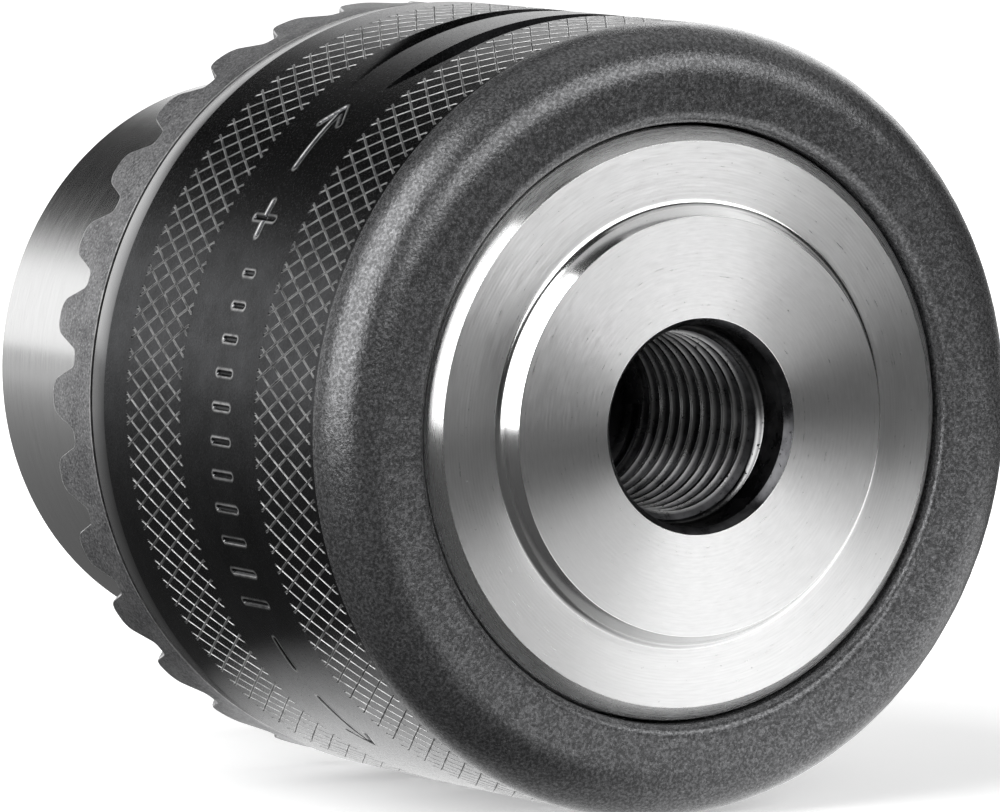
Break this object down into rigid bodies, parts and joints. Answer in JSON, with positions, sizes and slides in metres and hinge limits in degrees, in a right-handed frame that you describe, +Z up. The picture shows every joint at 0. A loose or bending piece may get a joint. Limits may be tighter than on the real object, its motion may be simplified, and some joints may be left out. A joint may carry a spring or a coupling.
{
  "type": "keyed drill chuck",
  "caption": "Keyed drill chuck: threaded steel body, knurled sleeve with gear rim, and slanted jaws driven by a split nut to close on a round shank.",
  "frame": {"origin": "centre of the rear face, where the spindle thread opens", "axes": "+Y along the chuck's axis from the spindle thread towards the nose and jaws; +Z up; +X points at one of the three key holes"},
  "size_m": [0.051, 0.0596, 0.0512],
  "materials": {
    "polished_steel": "finely turned and ground bright steel",
    "hardened_steel": "hardened dark grey steel, ground on the gripping faces",
    "black_oxide": "black oxide: glossy where turned, pebbled where forged",
    "nut_steel": "oiled dark machined steel",
    "bearing_steel": "ground and lapped",
    "cage_brass": "stamped"
  },
  "bodies": {
    "body": {"chuck_body": "polished_steel", "thrust_race": "bearing_steel"},
    "sleeve": {"sleeve": "black_oxide", "nut_half_1": "nut_steel", "nut_half_2": "nut_steel"},
    "ball_ring": {"ball_cage": "cage_brass", "ball_01": "bearing_steel", "ball_02": "bearing_steel", "ball_03": "bearing_steel", "ball_04": "bearing_steel", "ball_05": "bearing_steel", "ball_06": "bearing_steel", "ball_07": "bearing_steel", "ball_08": "bearing_steel", "ball_09": "bearing_steel", "ball_10": "bearing_steel", "ball_11": "bearing_steel", "ball_12": "bearing_steel", "ball_13": "bearing_steel", "ball_14": "bearing_steel", "ball_15": "bearing_steel", "ball_16": "bearing_steel", "ball_17": "bearing_steel", "ball_18": "bearing_steel"},
    "jaw_1": {"jaw_1": "hardened_steel"},
    "jaw_2": {"jaw_2": "hardened_steel"},
    "jaw_3": {"jaw_3": "hardened_steel"}
  },
  "joints": [
    {"name": "sleeve_turn", "type": "hinge", "parent": "body", "child": "sleeve", "pos_m": [0, 0.035, 0], "axis": [0, -1, 0], "range_deg": [0, 3672]},
    {"name": "ball_ring_turn", "type": "hinge", "parent": "body", "child": "ball_ring", "pos_m": [0, 0.0284, 0], "axis": [0, -1, 0], "range_deg": [0, 1837]},
    {"name": "jaw_1_slide", "type": "slide", "parent": "body", "child": "jaw_1", "axis": [-0.1664, 0.9659, -0.1983], "range_m": [0, 0.02551]},
    {"name": "jaw_2_slide", "type": "slide", "parent": "body", "child": "jaw_2", "axis": [0.2549, 0.9659, -0.0449], "range_m": [0, 0.02551]},
    {"name": "jaw_3_slide", "type": "slide", "parent": "body", "child": "jaw_3", "axis": [-0.0885, 0.9659, 0.2432], "range_m": [0, 0.02551]}
  ],
  "couplings": [
    {"joint": "ball_ring_turn", "follows": "sleeve_turn", "ratio": 0.5},
    {"joint": "jaw_1_slide", "follows": "sleeve_turn", "m_per_rad": 0.00039789},
    {"joint": "jaw_2_slide", "follows": "sleeve_turn", "m_per_rad": 0.00039789},
    {"joint": "jaw_3_slide", "follows": "sleeve_turn", "m_per_rad": 0.00039789}
  ]
}
